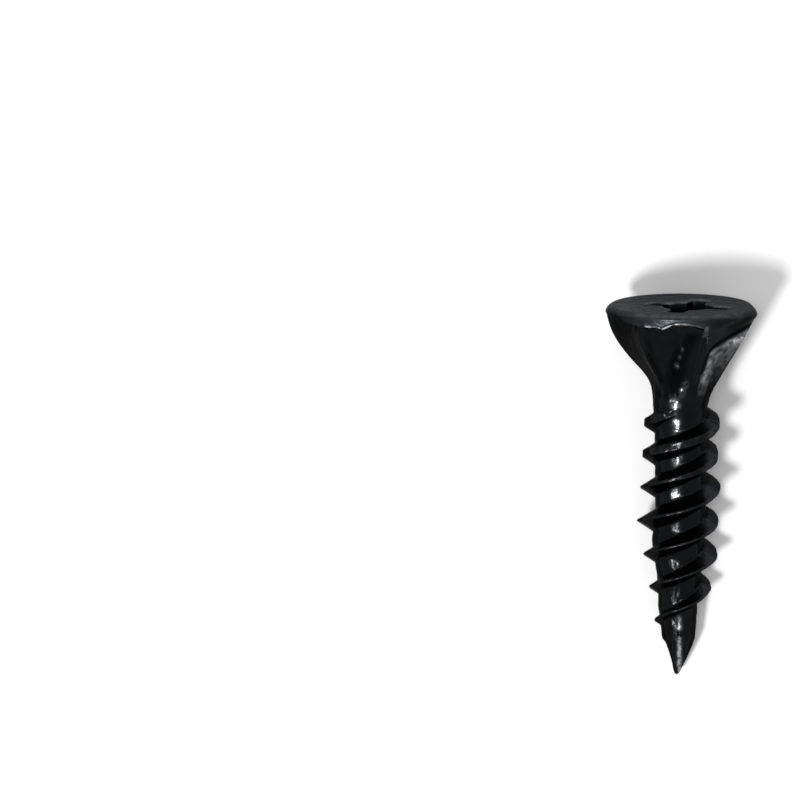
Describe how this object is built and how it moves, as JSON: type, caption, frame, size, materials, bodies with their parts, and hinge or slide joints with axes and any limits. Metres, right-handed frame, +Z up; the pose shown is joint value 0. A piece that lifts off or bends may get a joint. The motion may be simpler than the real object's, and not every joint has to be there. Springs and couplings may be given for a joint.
{
  "type": "drywall screw",
  "caption": "Black drywall screw with a ribbed countersunk head, a cross recess, a coarse twin-start thread and a tapered point, lying on its side.",
  "frame": {"origin": "middle of the base of its bounding box, on the surface that it lies on", "axes": "+Y from the point towards the head, +Z up, +X to the right seen from above with the head away from the viewer"},
  "size_m": [0.008, 0.0204, 0.008],
  "materials": {
    "black_steel": "black phosphate over steel, lightly oiled, semi-gloss"
  },
  "bodies": {
    "root": {"screw": "black_steel"}
  },
  "joints": []
}
